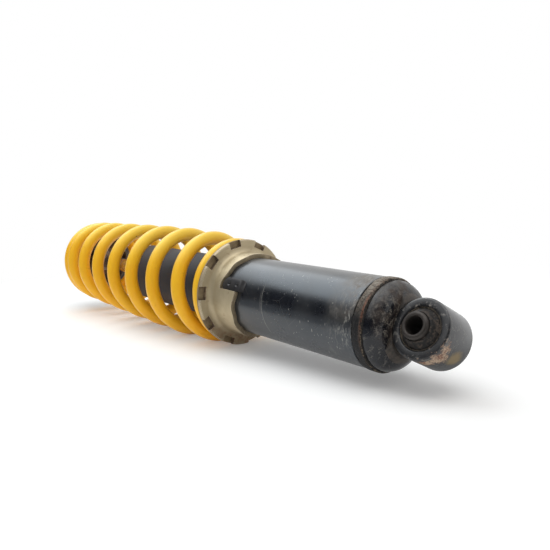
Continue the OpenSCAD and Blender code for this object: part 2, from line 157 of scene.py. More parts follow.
class Finish(Board):
    # one material: a Principled shader and whatever feeds it
    def __init__(self, name, **constants):
        self.material = bpy.data.materials.new(name)
        self.material.use_nodes = True
        super().__init__(self.material.node_tree)
        self.shader = self.add("ShaderNodeBsdfPrincipled", {}, constants)
        self.output = self.add("ShaderNodeOutputMaterial", {}, {"Surface": self.shader.outputs[0]})
        self.place = self.add("ShaderNodeTexCoord").outputs["Object"]

    def feed(self, **values):  # varying values, to the shader's sockets of those names
        for key, value in values.items():
            self.tree.links.new(value.socket, self.shader.inputs[key.replace("_", " ")])
        return self.material

    def axes(self, wanted="XYZ"):  # along the shock, towards the front, up; in mm
        node = self.add("ShaderNodeSeparateXYZ", {}, {0: self.place})
        return [Wire(self, node.outputs[letter]) * (1 / mm) for letter in wanted]

    def stretched(self, stretch):
        if not stretch:
            return self.place
        return self.add("ShaderNodeMapping", {}, {0: self.place, "Scale": stretch}).outputs[0]

    def cloud(self, size, detail=4.0, rough=0.55, bend=0.0, stretch=None):  # size in mm
        node = self.add("ShaderNodeTexNoise", {}, {
            "Vector": self.stretched(stretch), "Scale": 1 / (size * mm), "Detail": detail,
            "Roughness": rough, "Distortion": bend})
        return Wire(self, node.outputs[0])

    def cells(self, size, feature="F1", stretch=None):
        node = self.add("ShaderNodeTexVoronoi", {"feature": feature}, {
            "Vector": self.stretched(stretch), "Scale": 1 / (size * mm)})
        return Wire(self, node.outputs["Distance"])

    def spot(self, x, y, z):  # distance from a point given in mm, in mm
        node = self.add("ShaderNodeVectorMath", {"operation": "DISTANCE"}, {
            0: self.place, 1: (x * mm, y * mm, z * mm)})
        return Wire(self, node.outputs["Value"]) * (1 / mm)

    def aroundBolt(self, centre):  # distance along an eye's bolt and out from it, in mm
        away = self.add("ShaderNodeVectorMath", {"operation": "SUBTRACT"}, {
            0: self.place, 1: centre}).outputs[0]
        dot = self.add("ShaderNodeVectorMath", {"operation": "DOT_PRODUCT"}, {
            0: away, 1: boltAxis}).outputs["Value"]
        length = self.add("ShaderNodeVectorMath", {"operation": "LENGTH"}, {0: away})
        along = Wire(self, dot) * (1 / mm)
        whole = Wire(self, length.outputs["Value"]) * (1 / mm)
        square = whole * whole - along * along
        return along, square.maths("SQRT", square.maths("MAXIMUM", square, 0.0))

    def attribute(self, name):
        node = self.add("ShaderNodeAttribute", {"attribute_name": name})
        return Wire(self, node.outputs["Fac"])

    def blend(self, share, low, high):
        node = self.add("ShaderNodeMix", {"data_type": "RGBA", "blend_type": "MIX"}, {
            0: share, 6: low, 7: high})
        return Wire(self, node.outputs[2])

    def relief(self, height, depth, strength=1.0):  # depth in mm
        node = self.add("ShaderNodeBump", {}, {
            "Height": height, "Distance": depth * mm, "Strength": strength})
        return Wire(self, node.outputs[0])


# Finishes

blackPaint = {
    "tone": paintTone(20, 22, 28),
    "dust": paintTone(170, 167, 160),
    "cake": paintTone(116, 102, 88),  # dried dirt on top, by the seam
    "sheen": (0.74, 0.88, 1.0, 1.0),
    "gloss": 0.24,
    "coat": 0.43,
    "rubStart": 113.9,  # where the long rub mark crosses the body
    "rubTurn": 30,
    "rubBend": 0.0012,
    "rubGap": 2.0,  # to the shorter line beside it
    "crown": 25.5,  # height from which dust lies all along the top
    # How strongly each kind of mark shows
    "rub": 0.5, "secondRub": 0.36, "drips": 0.5, "hairs": 0.1, "specks": 0.9, "nicks": 0.7,
    "streaks": 0.4, "caked": 0.75,
}


def glossBlack():
    p = blackPaint
    finish = Finish("glossBlack", **{
        "Specular IOR Level": 0.5, "Specular Tint": p["sheen"], "Coat Roughness": 0.22})
    x, y, z = finish.axes()
    angle = y.turnTo(z) * math.degrees(1)
    smudge = finish.cloud(22, 5, 0.6)
    streak = finish.cloud(3.0, 5, 0.65, 0.6, (1, 0.5, 0.5))
    grit = finish.cells(2.6)
    drift = finish.cloud(14, 3)
    fine = finish.cloud(1.2, 3)
    # Two thin lines where something rubbed across the body
    path = p["rubStart"] - p["rubBend"] * (angle - p["rubTurn"]) * (angle - p["rubTurn"])
    line = abs(x - path + fine * 0.8 - 0.4).below(0.22, 0.25)
    line = line * angle.above(-36, 6) * angle.below(32, 6)
    second = abs(x - path - p["rubGap"] + smudge * 1.2).below(0.16, 0.25)
    second = second * angle.above(-4, 6) * angle.below(22, 8)
    # Hairlines run every way, only here and there
    hair = finish.cells(30, "DISTANCE_TO_EDGE", (1.0, 2.2, 0.7)).below(0.004, 0.006)
    hair = hair * finish.cloud(16, 2).above(0.56, 0.1)
    # Dust thickens towards the seam, and lies all along the top
    seamEdge = reach("seam_band", 1)
    nearSeam = x.below(seamEdge + 12, 24)
    high = z.above(12, 24)
    dust = streak.above(0.56, 0.14) * drift.above(0.5, 0.2) * nearSeam * p["streaks"]
    dust = dust + smudge.above(0.5, 0.3) * (0.05 + nearSeam * high * 0.36)
    dust = dust + z.above(p["crown"], 5) * (0.1 + smudge * 0.16)
    thick = x.below(100, 60) * 0.75 + 0.25
    specks = grit.below(0.13, 0.08) * (drift * 0.5 + fine * 0.5).above(0.52, 0.05) * thick
    nicks = finish.cells(3.2, "F1", (1, 0.3, 0.3)).below(0.1, 0.05) * drift.above(0.47, 0.1) * thick
    drips = finish.cloud(1.3, 4, 0.6, 0.2, (1, 0.4, 0.4)).above(0.58, 0.08)
    drips = drips * x.below(seamEdge + 9, 16) * (angle.above(-24, 24) * 0.8 + 0.2)
    marks = (line * p["rub"] + second * p["secondRub"] + drips * p["drips"] + hair * p["hairs"]
             + specks * p["specks"] + nicks * p["nicks"] + dust).clamped()
    tone = finish.blend(marks, p["tone"], p["dust"])
    cake = nearSeam * high * smudge.above(0.46, 0.14) * streak.above(0.45, 0.2)
    cake = (cake * p["caked"]).clamped()
    tone = finish.blend(cake, tone, p["cake"])
    marks = (marks + cake).clamped()
    rough = p["gloss"] + smudge.above(0.45, 0.4) * 0.08 + marks * 0.35
    coat = (p["coat"] - marks * p["coat"]).clamped()
    relief = finish.relief(finish.cloud(1.6, 2) * 0.4 + smudge * 0.6, 0.05, 0.25)
    return finish.feed(Base_Color=tone, Roughness=rough, Coat_Weight=coat, Normal=relief)


capLook = {
    "brown": paintTone(84, 68, 55),
    "frost": paintTone(158, 150, 138),  # pale corrosion round the joint with the eye
    "gloss": 0.2,
    "coat": 0.3,
    "eyeJoint": (9, 9, 7),
    "browned": 0.62, "dusted": 0.24, "frosted": 0.6,
}


def domeBlack():
    p = capLook
    finish = Finish("domeBlack", **{"Specular IOR Level": 0.3, "Coat Roughness": 0.18})
    x, z = finish.axes("XZ")
    grime = finish.cloud(9, 6, 0.65, 0.5)
    smear = finish.cloud(3.4, 4, 0.6, 0.8)
    fine = finish.cloud(0.9, 3)
    eyeEnd = finish.spot(*p["eyeJoint"]).below(15, 14)
    high = z.above(14, 18)
    brown = eyeEnd * grime.above(0.5, 0.16) * 0.9 + smear.above(0.66, 0.1) * 0.3
    brown = (brown + high * grime.above(0.52, 0.2) * 0.5).clamped()
    pale = smear.above(0.6, 0.1) * grime.above(0.47, 0.16) * fine.above(0.4, 0.2)
    pale = (pale + high * x.above(17, 8) * smear.above(0.46, 0.2) * 0.7).clamped()
    tone = finish.blend(pale * p["dusted"], blackPaint["tone"], blackPaint["dust"])
    tone = finish.blend(brown * p["browned"], tone, p["brown"])
    frost = eyeEnd * smear.above(0.5, 0.12) * fine.above(0.5, 0.14)
    tone = finish.blend((frost * p["frosted"]).clamped(), tone, p["frost"])
    marks = (pale * 0.7 + brown).clamped()
    return finish.feed(
        Base_Color=tone, Roughness=p["gloss"] + marks * 0.5,
        Coat_Weight=(p["coat"] - marks * p["coat"]).clamped(),
        Normal=finish.relief(smear * 0.5 + fine * 0.5, 0.12, 0.5))


eyeLook = {
    "tone": paintTone(30, 31, 34),
    "olive": paintTone(142, 124, 90),
    "rust": paintTone(134, 92, 74),
    "tan": paintTone(192, 170, 146),
    "fleck": paintTone(150, 146, 140),
    "gloss": 0.3,
    "coat": 0.6,
    "faceStart": 11.6,  # along the bolt, where the eye's flat faces begin
    "olivePlace": (-14.6, 0.5, -10.4),
    "oliveSize": 4.4,
    "rustPatches": [  # centre in mm, radius; on the lower eye's outer side
        ((-12.6, 11.4, -8.6), 4.6),
        ((-5.4, 12.9, -12.6), 3.4),
        ((-16.2, 10.5, -2.5), 2.6),
    ],
}


def eyePaint(name, centre, patches):
    p = eyeLook
    finish = Finish(name, **{
        "Specular IOR Level": 0.45, "Coat Weight": p["coat"], "Coat Roughness": 0.22})
    grime = finish.cloud(7, 5, 0.6, 0.4)
    flake = finish.cloud(2.6, 5, 0.7, 0.3)
    fine = finish.cloud(0.8, 3)
    worn = finish.attribute("worn")
    along = finish.aroundBolt(centre)[0]
    height = finish.axes("Z")[0]
    face = abs(along).above(p["faceStart"], 1.2)
    scuff = flake.above(0.57, 0.1) * grime.above(0.45, 0.2)
    rust = worn * flake.above(0.6, 0.08) * 0.35
    olive = rust * 0.6
    for (px, py, pz), size in patches:
        near = finish.spot(centre.x / mm + px, py, pz) + (flake - 0.5) * 16
        rust = rust + near.below(size, 2.2) * (fine * 0.6 + flake * 0.4).above(0.43, 0.1)
    rust = rust.clamped()
    tan = rust * (fine * 0.4 + grime * 0.6).above(0.47, 0.08)
    if patches:
        px, py, pz = p["olivePlace"]
        near = finish.spot(centre.x / mm + px, py, pz) + (flake - 0.5) * 6
        olive = near.below(p["oliveSize"], 3.0)
    tone = finish.blend((scuff * 0.3).clamped(), p["tone"], blackPaint["dust"])
    tone = finish.blend(olive * 0.8, tone, p["olive"])
    tone = finish.blend(rust * 0.9, tone, p["rust"])
    tone = finish.blend(tan * 0.85, tone, p["tan"])
    flecks = face * flake.above(0.6, 0.06) * fine.above(0.44, 0.14) * height.above(6, 12)
    tone = finish.blend(flecks * 0.6, tone, p["fleck"])
    marks = (scuff * 0.5 + rust + olive * 0.5).clamped()
    under = height.below(-4, 9)
    rough = p["gloss"] + marks * 0.4 + grime * 0.1 + under * 0.12
    step = (1.0 - rust) * 0.6 + flake * 0.3 + fine * 0.2
    return finish.feed(
        Base_Color=tone, Roughness=rough,
        Coat_Weight=(p["coat"] - marks * p["coat"] - under * 0.4).clamped(),
        Normal=finish.relief(step, 0.16, 0.6))


rubberLook = {
    "tone": paintTone(25, 23, 22),
    "crust": paintTone(104, 92, 82),
    "ring": paintTone(132, 122, 106),  # the pale line at the rubber's edge
}


def agedRubber(name, centre):
    p = rubberLook
    finish = Finish(name, **{"Specular IOR Level": 0.35})
    out = finish.aroundBolt(centre)[1]
    dirt = finish.cloud(3.0, 5, 0.65, 0.5)
    fine = finish.cloud(0.7, 3)
    ring = abs(out - (eyeBush["outer"] - 0.3) + (fine - 0.5) * 0.4).below(0.2, 0.2)
    crust = (dirt.above(0.55, 0.14) * fine.above(0.42, 0.2)).clamped()
    tone = finish.blend(crust * 0.7, p["tone"], p["crust"])
    tone = finish.blend(ring * dirt.above(0.42, 0.16) * 0.6, tone, p["ring"])
    return finish.feed(
        Base_Color=tone, Roughness=0.55 + crust * 0.3,
        Normal=finish.relief(dirt * 0.6 + fine * 0.4, 0.3, 0.8))


sleeveLook = {
    "tone": paintTone(66, 62, 59),
    "rust": paintTone(50, 41, 35),
    # bore: painted shade inside the sleeve's bore
    "bore": paintTone(26, 21, 18),
    "metal": 0.75,
}


def wornSteel(name, centre):
    p = sleeveLook
    finish = Finish(name, **{"Specular IOR Level": 0.5})
    along, out = finish.aroundBolt(centre)
    grain = finish.cloud(2.2, 5, 0.6)
    fine = finish.cloud(0.5, 3)
    # The bore is painted dark as painted shade inside the hole; the rust mask below takes in the bore too
    bore = out.below(eyeBush["bore"] + 0.25, 0.3) * abs(along).below(eyeBush["sleeve"] / 2 - 1, 2)
    rust = (grain.above(0.56, 0.16) * 0.6 + bore).clamped()
    tone = finish.blend(rust, p["tone"], p["rust"])
    tone = finish.blend(bore * 0.8, tone, p["bore"])
    return finish.feed(
        Base_Color=tone, Metallic=(p["metal"] - rust * 0.6).clamped(),
        Roughness=0.42 + rust * 0.35 + fine * 0.08,
        Normal=finish.relief(grain * 0.6 + fine * 0.4, 0.1, 0.4))


seamLook = {
    "top": (paintTone(158, 150, 138), paintTone(112, 99, 86)),
    # side: painted shade for the band's lower sides
    "side": paintTone(54, 47, 42),
    "orange": (paintTone(136, 84, 62), paintTone(88, 58, 44)),
    "under": (paintTone(24, 24, 26), paintTone(82, 76, 68)),
    "line": paintTone(132, 118, 98),
    "crust": paintTone(30, 27, 25),
}


def seamRust():
    p = seamLook
    finish = Finish("seamRust", **{"Specular IOR Level": 0.25})
    x, z = finish.axes("XZ")
    height = z / girth("outer_body")  # 1 at the top, 0 at half height
    grain = finish.cloud(2.6, 6, 0.65, 0.6)
    broad = finish.cloud(12, 4, 0.6)
    fine = finish.cloud(0.6, 3)
    inward = x - reach("seam_band", 0) + (grain - 0.5) * 2.2  # from the cap's side
    capSide = inward.below(2.1, 0.9) * inward.above(0.75, 0.4)
    tone = finish.blend(grain.above(0.5, 0.25), *p["top"])
    # Painted shade: the band darkens down its sides
    tone = finish.blend(height.below(0.78, 0.42) * 0.62, tone, p["side"])
    orange = finish.blend(grain.above(0.5, 0.2), *p["orange"])
    rusty = capSide * height.below(0.85, 0.3) * height.above(-0.4, 0.5) * broad.above(0.42, 0.2)
    tone = finish.blend((rusty * 0.85 + broad.above(0.6, 0.1) * 0.2).clamped(), tone, orange)
    under = finish.blend(fine.above(0.62, 0.12) * grain.above(0.5, 0.2), *p["under"])
    keep = capSide * height.above(-0.2, 0.5) * grain.above(0.46, 0.16) * 0.8
    low = (height + (broad - 0.5) * 0.5).below(0.42, 0.3)
    low = (low * (1.0 - keep)).clamped()
    tone = finish.blend(low, tone, under)
    line = inward.above(0.4, 0.2) * inward.below(0.95, 0.2)
    line = line * height.below(0.1, 0.2) * grain.above(0.47, 0.08)
    tone = finish.blend(line * 0.7, tone, p["line"])
    crack = finish.cells(2.1, "DISTANCE_TO_EDGE", (0.6, 1, 1)).below(0.07, 0.08)
    crack = crack * grain.above(0.44, 0.16)
    crust = crack * 0.7 + inward.below(0.55, 0.4) * 0.8 + fine.above(0.64, 0.1) * 0.25
    tone = finish.blend(crust.clamped(), tone, p["crust"])
    return finish.feed(
        Base_Color=tone, Roughness=0.62 + fine * 0.2 - low * 0.2,
        Normal=finish.relief(grain * 0.6 + fine * 0.4 - crack * 0.4, 0.4, 0.9))


yellowPaint = {
    "sheen": (1.0, 0.74, 0.22, 1.0),
    "tone": paintTone(255, 203, 44),
    # The deeper orange serves as random tone and as painted shade lower down
    "deepToneAndShade": paintTone(255, 166, 18),
    "paintedTopLight": paintTone(255, 221, 88),  # painted highlight, lighter and yellower on the coil's top
    "dirt": paintTone(120, 76, 30),
    "chip": paintTone(62, 52, 44),
    "gloss": 0.3,
    "innerRadius": 36.5,
    "outerRadius": 39,
}


def springYellow():
    p = yellowPaint
    finish = Finish("springYellow", **{
        "Specular IOR Level": 1.0, "Specular Tint": p["sheen"],
        "Coat Weight": 0.22, "Coat Roughness": 0.25})
    y, z = finish.axes("YZ")
    out = y.hypot(z)
    broad = finish.cloud(26, 4, 0.6)
    grain = finish.cloud(4, 5, 0.65)
    fine = finish.cloud(0.9, 3)
    inner = out.below(p["innerRadius"], 5)
    # Deeper orange in broad drifts and on the inner side, and painted shade towards the bottom
    deepToneAndShade = broad.above(0.5, 0.35) * 0.25 + inner * 0.3 + z.below(8, 50) * 0.24
    tone = finish.blend(deepToneAndShade.clamped(), p["tone"], p["deepToneAndShade"])
    # Painted highlight: the tops of the outer turns are painted lighter and yellower
    paintedTopLight = z.above(28, 16) * out.above(p["outerRadius"], 6)
    tone = finish.blend(paintedTopLight * 0.55, tone, p["paintedTopLight"])
    dirt = grain.above(0.64, 0.08) * fine.above(0.45, 0.2) * (0.12 + inner * 0.6)
    dirt = dirt.clamped()
    chips = (finish.cells(9).below(0.05, 0.02) * grain.above(0.55, 0.1)).clamped()
    tone = finish.blend(dirt, tone, p["dirt"])
    tone = finish.blend(chips, tone, p["chip"])
    return finish.feed(
        Base_Color=tone, Roughness=p["gloss"] + grain * 0.14 + dirt * 0.3,
        Normal=finish.relief(grain * 0.5 + fine * 0.5, 0.06, 0.35))


platedCollar = {
    "tone": paintTone(212, 198, 165),
    "shade": paintTone(166, 151, 121),
    "flange": paintTone(158, 142, 114),
    # under: painted shade for the collar's lower part
    "under": paintTone(136, 122, 98),
    "rust": paintTone(132, 92, 66),
    "wall": paintTone(66, 54, 42),  # painted shade in the notches and along the cam's edge
    # bright: worn edges, lightened almost to white, partly as a painted highlight
    "bright": paintTone(255, 240, 222),
    "metal": 0.55,
    "rough": 0.46,
    "flangeWidth": 9,
}


def agedPlating():
    p = platedCollar
    finish = Finish("agedPlating", **{"Specular IOR Level": 0.5})
    y, z = finish.axes("YZ")
    broad = finish.cloud(18, 4, 0.6, 0.3)
    grain = finish.cloud(4.5, 5, 0.65, 0.4)
    fine = finish.cloud(0.8, 3)
    worn = finish.attribute("worn")
    wall = finish.attribute("wall")
    tone = finish.blend(broad.above(0.5, 0.3) * 0.5, p["tone"], p["shade"])
    flange = y.hypot(z).above(girth("preload_collar") - p["flangeWidth"], 6)
    tone = finish.blend(flange * 0.5, tone, p["flange"])
    spots = (grain.above(0.66, 0.06) * fine.above(0.4, 0.2)).clamped()
    low = z.below(-24, 16) * flange
    # Painted shade: the collar darkens towards the bottom
    tone = finish.blend(z.below(-20, 20) * 0.55, tone, p["under"])
    rust = (low * grain.above(0.5, 0.16) * 0.6 + spots * 0.5 + wall * 0.45).clamped()
    tone = finish.blend(rust, tone, p["rust"])
    # Painted shade on the notch walls and the cam's edge
    tone = finish.blend(wall * grain.above(0.42, 0.3) * 0.8, tone, p["wall"])
    # Worn edges, lightened almost to white: partly wear, partly a painted highlight
    edge = (worn * grain.above(0.3, 0.14) * (1.0 - wall * 0.5)).clamped()
    tone = finish.blend(edge * 0.95, tone, p["bright"])
    return finish.feed(
        Base_Color=tone, Metallic=(p["metal"] - rust * 0.5 - edge * 0.35).clamped(),
        Roughness=p["rough"] + rust * 0.25 + fine * 0.08 - edge * 0.12,
        Normal=finish.relief(grain * 0.5 + fine * 0.5, 0.12, 0.5))


def plain(name, tone, other, rough, metal=0.0, size=6, coat=0.0, depth=0.1):
    # two tones in drifts, a fine grain and worn edges
    finish = Finish(name, **{"Coat Weight": coat, "Coat Roughness": 0.2})
    drift = finish.cloud(size, 5, 0.6, 0.3)
    fine = finish.cloud(0.8, 3)
    worn = finish.attribute("worn")
    mix = (drift.above(0.5, 0.3) * 0.7 + fine.above(0.6, 0.15) * 0.25).clamped()
    colour = finish.blend(mix, paintTone(*tone), paintTone(*other))
    lighter = [min(255, level * 1.35 + 12) for level in tone]
    edge = (worn * drift.above(0.45, 0.2) * 0.6).clamped()
    colour = finish.blend(edge, colour, paintTone(*lighter))
    if metal:
        finish.feed(Metallic=(metal - mix * (0.15 * metal)).clamped())
    return finish.feed(
        Base_Color=colour, Roughness=rough + mix * 0.12,
        Normal=finish.relief(drift * 0.5 + fine * 0.5, depth, 0.5))


# Shapes

# Turns an outline of (radius, x) in mm about the shock
def spunPiece(outline, steps=160, closed=True):
    bm = bmesh.new()
    corners = [bm.verts.new((x * mm, r * mm, 0)) for r, x in outline]
    edges = [bm.edges.new(pair) for pair in zip(corners, corners[1:])]
    if closed:
        edges.append(bm.edges.new((corners[-1], corners[0])))
    bmesh.ops.spin(bm, geom=corners + edges, cent=(0, 0, 0), axis=(1, 0, 0), dvec=(0, 0, 0),
                   angle=math.tau, steps=steps, use_merge=True, use_duplicate=False)
    bmesh.ops.remove_doubles(bm, verts=bm.verts, dist=1e-7)
    bmesh.ops.recalc_face_normals(bm, faces=bm.faces)
    return bm


def arc(centre, radius, start, end, count):  # round stretch of an outline, in degrees
    points = []
    for k in range(count + 1):
        a = math.radians(start + (end - start) * k / count)
        points.append((centre[0] + radius * math.cos(a), centre[1] + radius * math.sin(a)))
    return points


def soften(bm, width, least=30, segments=2):  # bevels the sharp edges and marks them as worn
    worn = bm.faces.layers.float.get("worn") or bm.faces.layers.float.new("worn")
    sharp = [e for e in bm.edges if len(e.link_faces) == 2
             and e.calc_face_angle() > math.radians(least)]
    made = bmesh.ops.bevel(bm, geom=sharp, offset=width * mm, offset_type="OFFSET",
                           affect="EDGES", segments=segments, profile=0.5, material=-1,
                           clamp_overlap=True, loop_slide=True)
    for face in made["faces"]:
        face[worn] = 1.0
    return bm


def weldedCopy(node):  # a CAD node's shape with its loose triangles merged
    bm = bmesh.new()
    bm.from_mesh(nodes[node].data)
    bmesh.ops.remove_doubles(bm, verts=bm.verts, dist=2e-6)
    bmesh.ops.dissolve_limit(bm, angle_limit=math.radians(0.4), verts=bm.verts, edges=bm.edges,
                             delimit=set(), use_dissolve_boundaries=False)
    return bm


def ontoBolt(bm, mount):  # from lying about the X axis to lying about an eye's bolt
    turn = Vector((1, 0, 0)).rotation_difference(boltAxis).to_matrix().to_4x4()
    matrix = Matrix.Translation(boltPlaces[mount]) @ turn
    bmesh.ops.transform(bm, matrix=matrix, verts=bm.verts)
    return bm


def newPiece(name, bm, material, body, replaces, smooth=35):
    mesh = bpy.data.meshes.new(name)
    bm.to_mesh(mesh)
    bm.free()
    if "custom_normal" in mesh.attributes:
        mesh.attributes.remove(mesh.attributes["custom_normal"])
    mesh.shade_smooth()
    mesh.set_sharp_from_angle(angle=math.radians(smooth))
    mesh.materials.clear()
    mesh.materials.append(material)
    piece = bpy.data.objects.new(name, mesh)
    scene.collection.objects.link(piece)
    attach(piece, body)
    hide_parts(*replaces)
    return piece


def ripple(angle, size, seed):  # an uneven wave round the shock, in mm
    def wave(count, shift):
        return noise.noise(Vector((count * math.cos(angle), count * math.sin(angle), shift)))
    return size * (wave(2.2, seed) + 0.5 * wave(7, seed + 5))


def angleOf(vert):
    return math.atan2(vert.co.z, vert.co.y)


def outOf(vert):  # distance from the shock's own axis, in mm
    return math.hypot(vert.co.y, vert.co.z) / mm


def ease(t, low, high):  # 0 below low, 1 above high, smooth between
    u = min(1.0, max(0.0, (t - low) / (high - low)))
    return u * u * (3 - 2 * u)


# Eyes

eyeBush = {
    "ring": 17.4, "width": 26, "chamfer": 0.8,
    "outer": 12.2, "recess": 0.8, "rise": 4.6, "ribs": 18, "ribRise": 0.4,
    "sleeveR": 7.9, "sleeve": 38.5, "sleeveChamfer": 1.0, "bore": 5.15, "boreChamfer": 0.5,
    "bevel": 0.3, "sleeveBevel": 0.22, "upperBevel": 0.35,
}


def chamferedTube(inner, outer, half, innerCut, outerCut):  # outline of a tube with cut corners
    side = [(inner, half - innerCut), (inner + innerCut, half), (outer - outerCut, half),
            (outer, half - outerCut)]
    return [(r, -x) for r, x in side] + side[::-1]


def eyeRing():
    c = eyeBush
    outline = chamferedTube(c["outer"], c["ring"], c["width"] / 2, c["chamfer"], c["chamfer"])
    return soften(spunPiece(outline, 128), c["bevel"])


def bushRubber():
    half = eyeBush["width"] / 2 - eyeBush["recess"]
    inner, outer, rise = eyeBush["sleeveR"] + 0.05, eyeBush["outer"] + 0.05, eyeBush["rise"]
    side = [(inner, half + rise - 0.5), (inner + 0.35, half + rise),
            (inner + 0.9, half + rise - 0.2), (inner + 1.4, half + rise - 1.3),
            (outer - 1.9, half + 0.9), (outer - 1.1, half + 0.2), (outer - 0.7, half - 0.4),
            (outer - 0.3, half + 0.25), (outer, half)]
    outline = side + [(r, -x) for r, x in reversed(side)]
    bm = spunPiece(outline, 144)
    for v in bm.verts:  # moulded ribs on the cone of each face
        if inner + 1.2 < outOf(v) < outer - 0.9 and abs(v.co.x) > half * mm / 2:
            rib = max(0.0, math.cos(eyeBush["ribs"] * angleOf(v))) ** 3
            v.co.x += math.copysign(eyeBush["ribRise"] * rib * mm, v.co.x)
    return bm


def bushSleeve():
    c = eyeBush
    outline = chamferedTube(c["bore"], c["sleeveR"], c["sleeve"] / 2,
                            c["boreChamfer"], c["sleeveChamfer"])
    return soften(spunPiece(outline, 96), c["sleeveBevel"], 25)


lowerPaint = eyePaint("lowerEyePaint", boltPlaces["lower_eye"], eyeLook["rustPatches"])
upperPaint = eyePaint("upperEyePaint", boltPlaces["upper_eye"], [])
newPiece("eye_ring_lower", ontoBolt(eyeRing(), "lower_eye"), lowerPaint,
         "damper_body", ["lower_eye"])
newPiece("eye_upper", soften(weldedCopy("upper_eye"), eyeBush["upperBevel"]), upperPaint,
         "rod", ["upper_eye"])
for side, rubberBody in (("lower", "damper_body"), ("upper", "rod")):
    mount = side + "_eye"
    rubber = agedRubber(side + "Rubber", boltPlaces[mount])
    steel = wornSteel(side + "Sleeve", boltPlaces[mount])
    newPiece("bush_rubber_" + side, ontoBolt(bushRubber(), mount), rubber,
             rubberBody, [side + "_bush_rubber"])
    newPiece("bush_sleeve_" + side, ontoBolt(bushSleeve(), mount), steel,
             side + "_sleeve", [side + "_bush_sleeve"])
print("eyes done")

# Body, seam and end cap

bodyR = girth("outer_body")
tubeR = girth("damper_tube")
seam = {
    "start": reach("seam_band", 0), "end": reach("seam_band", 1), "lip": girth("seam_band"),
    "wander": 1.0,  # how far its edges stray along the shock
    "dent": 0.15, "deepest": 0.12,
}


def bodyShell():
    start, end = seam["end"] + 0.2, reach("outer_body", 1)
    return spunPiece([(tubeR, start), (bodyR - 0.3, start), (bodyR, start + 0.4),
                      (bodyR, end - 1), (bodyR - 1, end), (tubeR, end)], 192)


def seamBand():
    start, end, lip = seam["start"], seam["end"], seam["lip"]
    middle = (start + end) / 2
    outline = [(tubeR, start), (bodyR - 1.2, start), (bodyR - 0.2, start + 0.55),
               (lip, start + 1.1), (lip + 0.02, middle), (lip, end - 1.2),
               (bodyR - 0.1, end - 0.5), (bodyR - 0.9, end), (tubeR, end)]
    bm = spunPiece(outline, 256)
    for v in bm.verts:
        if outOf(v) > bodyR - 0.5:
            a = angleOf(v)
            side = (v.co.x / mm - middle) / (end - middle)  # -1 at the cap, 1 at the body
            shift = ripple(a, seam["wander"], 3 if side > 0 else 11) * abs(side)
            lift = max(-seam["deepest"], min(0.0, ripple(a * 3, seam["dent"], 20)))
            v.co += Vector((shift, math.cos(a) * lift, math.sin(a) * lift)) * mm
    return bm


lugPlate = {
    "tip": 156.3, "length": 23.0, "width": 8.4, "rise": 2.4, "sunk": 0.4, "slope": 0.196,
    "turn": 24.13, "tipRound": 3.9, "rootRound": 2.0, "fall": 5.0, "bevel": 0.4,
    "dimples": (7.0, 16.0), "dimpleR": 1.3, "dimpleDepth": 1.1,
    "across": 26, "along": 72,
}


def endRound(distance, radius):  # how far a rounded corner draws the edge in
    return radius - math.sqrt(radius ** 2 - (radius - distance) ** 2) if distance < radius else 0.0


def lugShape(turn):
    c = lugPlate
    bm = bmesh.new()
    bmesh.ops.create_grid(bm, x_segments=c["across"], y_segments=c["along"], size=0.5)
    doubled = bmesh.ops.extrude_face_region(bm, geom=list(bm.faces), use_keep_orig=True)["geom"]
    below = {v for v in doubled if isinstance(v, bmesh.types.BMVert)}
    for v in bm.verts:
        down = (1 - math.cos(math.pi * (v.co.y + 0.5))) / 2 * c["length"]
        half = c["width"] / 2 - endRound(down, c["tipRound"])
        half -= endRound(c["length"] - down, c["rootRound"])
        across = v.co.x * 2 * half
        dip = 0.0
        for centre in c["dimples"]:
            away = math.hypot(across, down - centre)
            dip = max(dip, 1 - ease(away, c["dimpleR"] - 0.45, c["dimpleR"] + 0.15))
        root = ease(c["length"] - down, 0, c["fall"])
        out = bodyR + c["rise"] * (0.1 + 0.9 * root) - dip * c["dimpleDepth"]
        if v in below:
            out = bodyR - c["sunk"]
        angle = math.radians(turn) + across / (bodyR + c["rise"] / 2)
        x = c["tip"] - down - across * c["slope"] * (1 - down / c["length"])
        v.co = Vector((x, math.cos(angle) * out, math.sin(angle) * out)) * mm
    bmesh.ops.recalc_face_normals(bm, faces=bm.faces)
    return soften(bm, c["bevel"], 50, 3)


capEnd = {"step": 1.2, "corner": 9.5, "weldHalf": 12.6, "weldBevel": 0.6}


def capDome():
    tip, edge, corner = reach("end_cap", 0), bodyR - capEnd["step"], capEnd["corner"]
    outline = [(0, tip)] + arc((edge - corner, tip + corner), corner, -90, 0, 28)
    outline += [(edge, seam["start"] + 0.2), (0, seam["start"] + 0.2)]
    return spunPiece(outline, 192, closed=False)


def eyeWeld():  # fills the crease between the eye and the cap, no wider than the eye
    bm = weldedCopy("eye_weld")
    for side in (1, -1):
        everything = list(bm.verts) + list(bm.edges) + list(bm.faces)
        outward = boltAxis * side
        bmesh.ops.bisect_plane(bm, geom=everything, plane_co=outward * capEnd["weldHalf"] * mm,
                               plane_no=outward, clear_outer=True)
        bmesh.ops.holes_fill(bm, edges=[e for e in bm.edges if e.is_boundary], sides=0)
    bmesh.ops.recalc_face_normals(bm, faces=bm.faces)
    return soften(bm, capEnd["weldBevel"], 30, 3)


